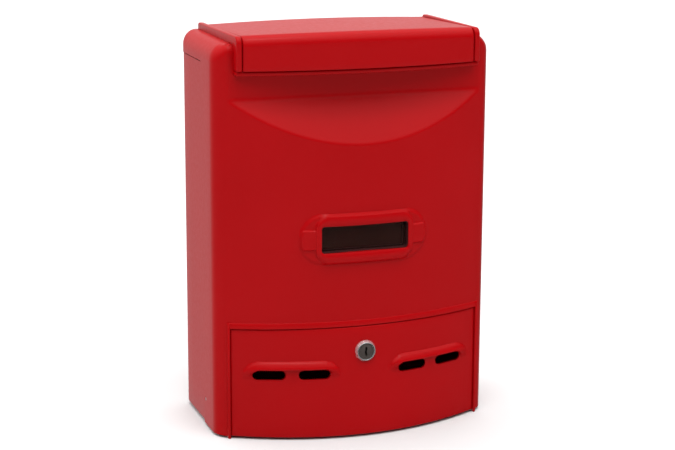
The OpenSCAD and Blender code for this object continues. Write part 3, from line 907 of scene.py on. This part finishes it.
def brow_rise(x, z):
    """Height of the hoods over the vents: an arch with short legs, sloping above and steep below."""
    u = np.abs(x) - (VENT_X[0] + VENT_X[1]) / 2
    v = z - (BROW_Z - 20)
    d = round_rect(u, v, np.array([39.5, 15.0]), 10)
    above = 0.55 * (1 - smoothstep(6.2, 7.8, d)) + 0.45 * (1 - smoothstep(1.0, 7.0, d))
    below = smoothstep(-1.0, 0.4, d)
    legs = smoothstep(VENT_Z - 5, VENT_Z + 8, z)
    return BROW_RISE * above * below * legs * (z > VENT_Z - 6)


def door_sheet():
    edge_r = 1.5
    curl = np.radians(np.linspace(0, 90, 6))
    round_in = [(edge_r * math.sin(a), edge_r * (1 - math.cos(a))) for a in curl[1:]]
    columns = [(x, 0.0) for x in spans(0, 4, 26, 1.25, 120, 3, DOOR_HALF - edge_r)]
    columns += [(DOOR_HALF - edge_r + out, back) for out, back in round_in]
    columns += [(DOOR_HALF, 6.0), (DOOR_HALF, 11.0)]
    columns = [(-x, depth) for x, depth in columns[:0:-1]] + columns
    rows = [(BASE_Z, None)]
    rows += [(BASE_Z + edge_r - out, back) for out, back in round_in[::-1]]
    rows += [(z, 0.0) for z in spans(BASE_Z + edge_r, 8, VENT_Z - 6, 1.25, 90, 6, DOOR_TOP - edge_r)]
    rows += [(DOOR_TOP - edge_r + out, back) for out, back in round_in]
    rows += [(DOOR_TOP, 6.0), (DOOR_TOP, 12.0)]
    points = []
    for z, back in rows:
        row = []
        for x, depth in columns:
            front = float(door_front_y(x, z)) - float(brow_rise(np.array(x), np.array(float(z))))
            row_y = DOOR_REAR_Y if back is None else front + back
            row.append((x, min(max(front + depth, row_y), DOOR_REAR_Y), z))
        points.append(row)
    return moulding("door_sheet", points, (0, -60, 60))


def door():
    cutters = []
    for x in (-VENT_X[1], -VENT_X[0], VENT_X[0], VENT_X[1]):
        outline = round_outline(VENT_HALF, VENT_HALF[1] - 0.01, 10) + np.array([x, VENT_Z])
        cutters.append(prism("vent", outline, 1, -180, -110))
    cutters.append(lathe("lock_hole", [(0, -180), (LOCK_HOLE_R, -180), (LOCK_HOLE_R, -120), (0, -120)],
                         0, LOCK_Z, 64))
    sheet = cut(door_sheet(), cutters)
    seat_y = LOCK_FRONT_Y + 5
    boss = [(LOCK_HOLE_R, seat_y + 0.6), (14, seat_y + 0.6), (14, seat_y + 3.6), (13.4, seat_y + 4),
            (LOCK_HOLE_R, seat_y + 4), (LOCK_HOLE_R, seat_y + 0.6)]
    parts = [sheet, lathe("lock_boss", boss, 0, LOCK_Z, 64)]
    for side in (-1, 1):
        xs = on_side(side, DOOR_HALF - 5, DOOR_HALF - 0.6)
        parts.append(block("knuckle", (xs[0], EDGE_Y + 1.2, BASE_Z + 0.6),
                           (xs[1], DOOR_REAR_Y - 0.3, 14.5), 0.5))
    return finish_piece(join("door_moulding", parts), "door", RED, ["door"])


# ---------------------------------------------------------------- lock

def lock_bezel():
    """The lock's body: a barrel with a raised rim, open for the plug."""
    y = LOCK_FRONT_Y
    profile = [(8.05, y + 18), (8.05, y + 1.4), (8.2, y + 0.6), (8.45, y + 0.15), (8.8, y), (9.3, y + 0.25),
               (10.3, y + 2.2), (10.75, y + 3.2), (10.8, y + 3.8), (10.8, y + 4.7), (10.5, y + 4.9),
               (9.2, y + 4.9), (9.2, y + 25), (8.05, y + 25), (8.05, y + 18)]
    return finish_piece(lathe("lock_bezel", profile, 0, LOCK_Z), "door", CHROME, ["lock_body"])


def lock_core():
    """The plug with a ring groove and a keyway in its face, and the stud behind it for the cam."""
    y = LOCK_FRONT_Y
    face_y = y + 0.45
    profile = [(0, face_y), (5.9, face_y), (6.1, face_y + 0.08), (6.25, face_y + 0.3), (6.5, face_y + 0.3),
               (6.7, face_y + 0.05), (7.6, face_y + 0.05), (7.85, face_y + 0.3), (7.85, face_y + 1.3),
               (6.3, face_y + 1.4), (6.3, y + 24.9), (0, y + 24.9)]
    keyway = [(-1.0, -4.9), (-1.0, -1.9), (-1.8, -1.6), (-1.8, 0.2), (-1.0, 0.6), (-1.0, 4.6),
              (1.0, 4.6), (1.0, 0.6), (0.6, 0.2), (0.6, -1.6), (1.0, -1.9), (1.0, -4.9)]
    slot = prism("key_slot", np.array(keyway) + np.array([0, LOCK_Z]), 1, y - 2, y + 9)
    thread = [(0, y + 26), (3, y + 26), (3, y + 32.5), (2.5, y + 33), (0, y + 33)]
    parts = [cut(lathe("plug", profile, 0, LOCK_Z), [slot]),
             block("stud", (-3.5, y + 24, LOCK_Z - 3.5), (3.5, y + 28, LOCK_Z + 3.5), 0.3),
             lathe("thread", thread, 0, LOCK_Z, 40)]
    return finish_piece(join("lock_core", parts), "lock", LOCK_STEEL, ["lock_plug"])


# ---------------------------------------------------------------- small CAD parts keep their shape

def dress_cad_nodes():
    """Gives each CAD node the material of its slot."""
    slots = {s["node"]: s["material_slot"] for s in frame["record"]["subparts"]}
    for name, obj in frame["nodes"].items():
        material = SLOT_MATERIALS[slots[name]]
        obj.data.materials.clear()
        obj.data.materials.append(material)


# ---------------------------------------------------------------- studio

# Brightness of the surroundings, ahead of the object and behind it, at low and at high elevations
WORLD_FRONT_LOW, WORLD_FRONT_HIGH = 0.05, 1.6
WORLD_BACK_LOW, WORLD_BACK_HIGH, WORLD_BACK_TOP = 0.72, 0.85, 0.4

# Suns: azimuth, elevation and apparent size in degrees, strength, and whether reflections show them
LAMPS = [(-35, 50, 40, 0.7, False), (35, 50, 40, 0.7, False), (0, 70, 30, 0.4, False),
         (-6, 76, 11, 0.4, True), (180, 68, 50, 1.2, False), (-115, 20, 50, 0.78, False)]
FLOOR_HALF = 12000


def direction(azimuth, elevation):
    """Unit vector from the object to a lamp: azimuth in degrees from the front, positive to the right."""
    a, e = math.radians(azimuth), math.radians(elevation)
    return Vector((math.sin(a) * math.cos(e), -math.cos(a) * math.cos(e), math.sin(e)))


def floor():
    corners = [(x * FLOOR_HALF, y * FLOOR_HALF, 0) for x, y in ((-1, -1), (1, -1), (1, 1), (-1, 1))]
    plane = mesh_from("floor", corners, [(0, 1, 2, 3)])
    material, nodes, links, shader = node_material("floor", (0.62, 0.62, 0.62), 0.8, level=0.0)
    links.new(tint(nodes, links, ramp(nodes, links, noise(nodes, links, 3, 2), 0, 1), (0.615, 0.615, 0.615),
                   (0.625, 0.625, 0.625)), shader.inputs["Base Color"])
    plane.data.materials.append(material)
    plane.visible_glossy = False


def surroundings():
    """A white world whose brightness changes with the direction."""
    world = bpy.data.worlds.new("studio")
    bpy.context.scene.world = world
    world.use_nodes = True
    nodes, links = world.node_tree.nodes, world.node_tree.links
    place = nodes.new("ShaderNodeTexCoord")
    axes = nodes.new("ShaderNodeSeparateXYZ")
    links.new(place.outputs["Generated"], axes.inputs["Vector"])

    def blend(source, low, high, a, b):
        remap = nodes.new("ShaderNodeMapRange")
        remap.interpolation_type = "SMOOTHSTEP"
        for key, value in (("From Min", low), ("From Max", high), ("To Min", a), ("To Max", b)):
            if isinstance(value, float):
                remap.inputs[key].default_value = value
            else:
                links.new(value, remap.inputs[key])
        links.new(source, remap.inputs["Value"])
        return remap.outputs["Result"]

    front = blend(axes.outputs["Z"], 0.2, 0.95, WORLD_FRONT_LOW, WORLD_FRONT_HIGH)
    back = blend(axes.outputs["Z"], -0.15, 0.22, WORLD_BACK_LOW, WORLD_BACK_HIGH)
    back = blend(axes.outputs["Z"], 0.22, 0.6, back, WORLD_BACK_TOP)
    links.new(blend(axes.outputs["Y"], 0.35, 0.85, front, back), nodes["Background"].inputs["Strength"])
    nodes["Background"].inputs["Color"].default_value = (1, 1, 1, 1)


def lamps():
    for number, (azimuth, elevation, angle, power, gloss) in enumerate(LAMPS):
        data = bpy.data.lights.new("lamp_%d" % number, "SUN")
        data.angle = math.radians(angle)
        data.energy = power
        light = bpy.data.objects.new("lamp_%d" % number, data)
        away = direction(azimuth, elevation)
        light.location = away * 3
        light.rotation_mode = "QUATERNION"
        light.rotation_quaternion = (-away).to_track_quat("-Z", "Y")
        light.visible_glossy = gloss
        bpy.context.scene.collection.objects.link(light)


def studio():
    floor()
    surroundings()
    lamps()
    settings = bpy.context.scene.view_settings
    settings.view_transform = "Standard"
    settings.look = "None"


dress_cad_nodes()
front_cover()
window_gasket()
rear_shell()
flap()
door()
lock_bezel()
lock_core()
studio()
